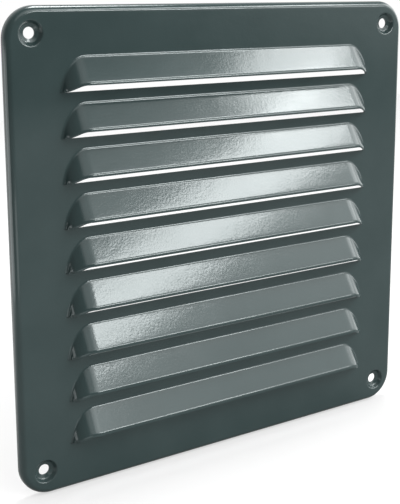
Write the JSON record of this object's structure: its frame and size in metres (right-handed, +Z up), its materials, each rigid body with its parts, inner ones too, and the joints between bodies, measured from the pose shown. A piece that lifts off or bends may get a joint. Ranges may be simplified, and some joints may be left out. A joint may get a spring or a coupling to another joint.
{
  "type": "louvred vent grille",
  "caption": "Square pressed-metal wall vent plate with downward louvres, a turned-back rim, rounded corners and countersunk corner screw holes.",
  "frame": {"origin": "centre of the wall plane, on which the rim's back edge lies, midway between the four screws", "axes": "+X to the viewer's right, +Z up as fixed, -Y out of the louvred front, +Y into the wall"},
  "size_m": [0.23, 0.0126, 0.23],
  "materials": {
    "slate_paint": "gloss"
  },
  "bodies": {
    "root": {"louvred_grille": "slate_paint"}
  },
  "joints": []
}
